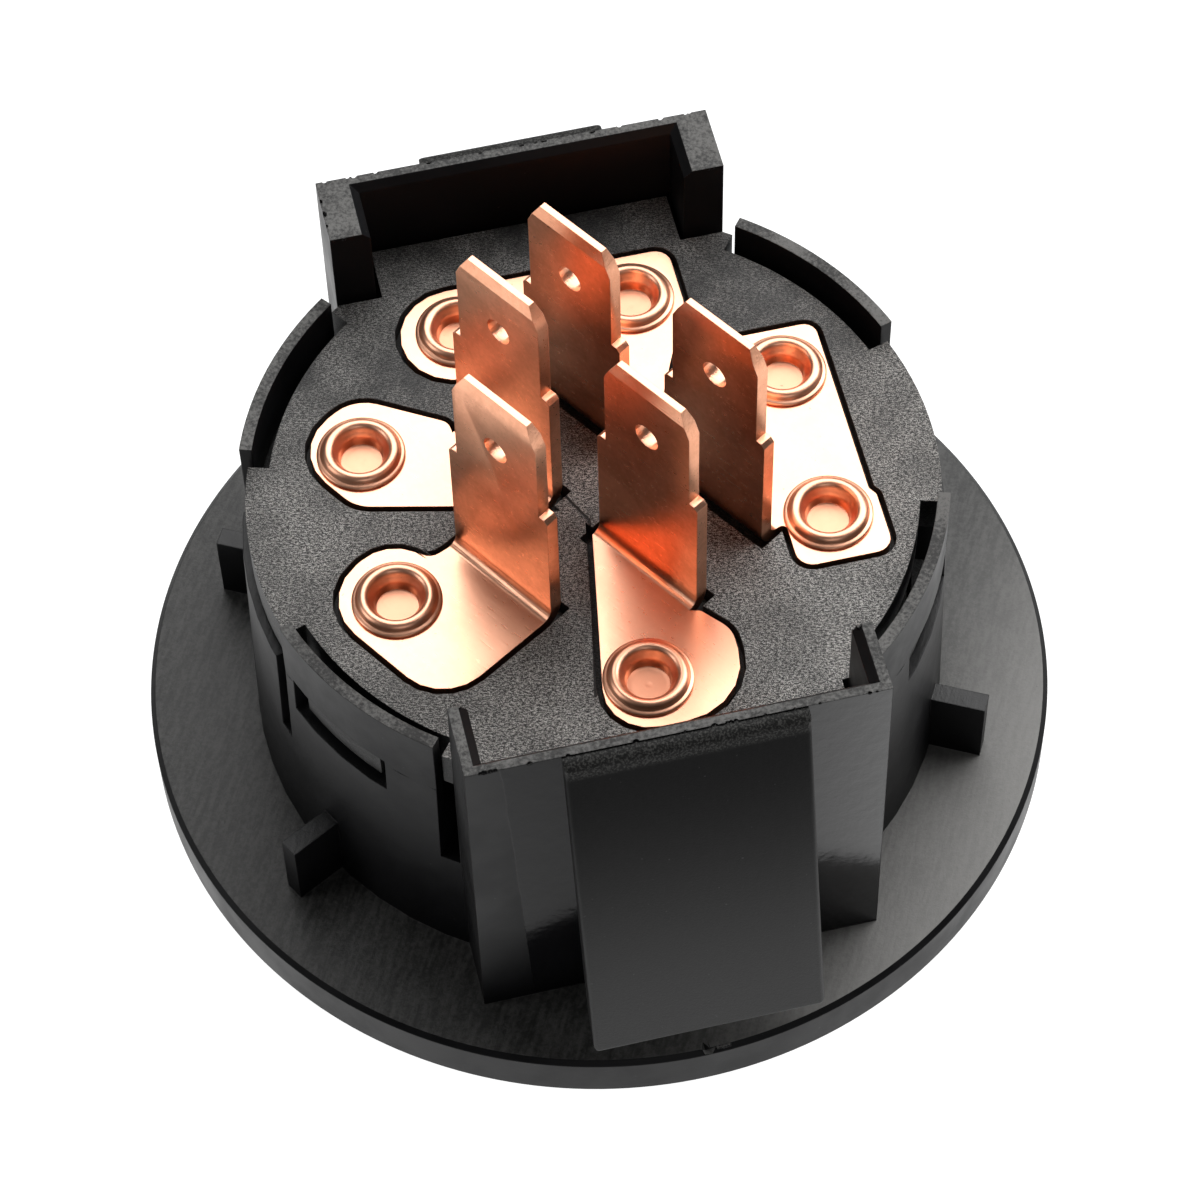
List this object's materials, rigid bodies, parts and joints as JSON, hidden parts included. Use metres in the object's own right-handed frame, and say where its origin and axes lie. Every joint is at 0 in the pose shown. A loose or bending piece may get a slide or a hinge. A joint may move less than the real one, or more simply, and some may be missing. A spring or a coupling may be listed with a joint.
{
  "type": "rotary selector switch",
  "caption": "Round panel-mount rotary selector switch: a flanged black housing that snaps into a hole, with copper blade terminals standing on its rear.",
  "frame": {"origin": "centre of the knob's front face, on which the loose switch stands", "axes": "+Z along the knob's axis towards the terminals at the rear, +Y towards the rear latch box with the wide posts"},
  "size_m": [0.055, 0.055, 0.0506],
  "materials": {
    "black_plastic": "satin moulded black plastic with light moulding marks",
    "base_plastic": "matt black thermoset with a fine speckle",
    "copper": "bright rolled copper with a fine grain, darker on the blades",
    "silver_contact": "satin silver alloy",
    "steel": "plain turned and stamped steel",
    "spring_wire": "drawn spring wire",
    "white_plastic": "natural acetal",
    "dial_print": "dark grey film with light marks"
  },
  "bodies": {
    "switch_body": {"housing": "black_plastic", "terminal_base": "base_plastic", "terminal_left_front": "copper", "terminal_left_rear": "copper", "terminal_rear": "copper", "terminal_right": "copper", "terminal_front": "copper", "contact_rivet_left_front": "copper", "contact_rivet_left_rear": "copper", "contact_rivet_rear_left": "copper", "contact_rivet_rear_right": "copper", "contact_rivet_right_rear": "copper", "contact_rivet_right_front": "copper", "contact_rivet_front": "copper", "dial_plate": "dial_print", "thrust_washer": "steel", "detent_ring": "white_plastic"},
    "selector": {"knob": "black_plastic", "knob_pointer": "white_plastic", "knob_spring_clip": "steel", "shaft": "steel", "retaining_ring": "steel", "contact_rotor": "white_plastic", "detent_spring_1": "spring_wire", "detent_spring_2": "spring_wire", "contact_spring_1": "spring_wire", "contact_spring_2": "spring_wire"},
    "contact_carriage": {"contact_bridge": "copper", "moving_contact_1": "silver_contact", "moving_contact_2": "silver_contact"},
    "detent_plunger_one": {"detent_plunger_1": "steel"},
    "detent_plunger_two": {"detent_plunger_2": "steel"},
    "front_latch": {"latch_arm_front": "black_plastic"},
    "rear_latch": {"latch_arm_rear": "black_plastic"}
  },
  "joints": [
    {"name": "selector_turn", "type": "hinge", "parent": "switch_body", "child": "selector", "pos_m": [0, 0, 0], "axis": [0, 0, 1], "range_deg": [0, 135]},
    {"name": "bridge_float", "type": "slide", "parent": "selector", "child": "contact_carriage", "axis": [0, 0, 1], "range_m": [-0.0005, 0], "stiffness_N_per_m": 1500, "springref_m": 0.001, "deforming": ["contact_spring_1", "contact_spring_2"]},
    {"name": "detent_press_one", "type": "slide", "parent": "selector", "child": "detent_plunger_one", "axis": [0, 0, 1], "range_m": [0, 0.0008], "stiffness_N_per_m": 1500, "springref_m": -0.001, "deforming": ["detent_spring_1"]},
    {"name": "detent_press_two", "type": "slide", "parent": "selector", "child": "detent_plunger_two", "axis": [0, 0, 1], "range_m": [0, 0.0008], "stiffness_N_per_m": 1500, "springref_m": -0.001, "deforming": ["detent_spring_2"]},
    {"name": "front_latch_flex", "type": "hinge", "parent": "switch_body", "child": "front_latch", "pos_m": [0, -0.02145, 0.0392], "axis": [1, 0, 0], "range_deg": [0, 8], "stiffness_Nm_per_rad": 1, "springref_deg": -2.86},
    {"name": "rear_latch_flex", "type": "hinge", "parent": "switch_body", "child": "rear_latch", "pos_m": [0, 0.02145, 0.0392], "axis": [-1, 0, 0], "range_deg": [0, 8], "stiffness_Nm_per_rad": 1, "springref_deg": -2.86}
  ]
}
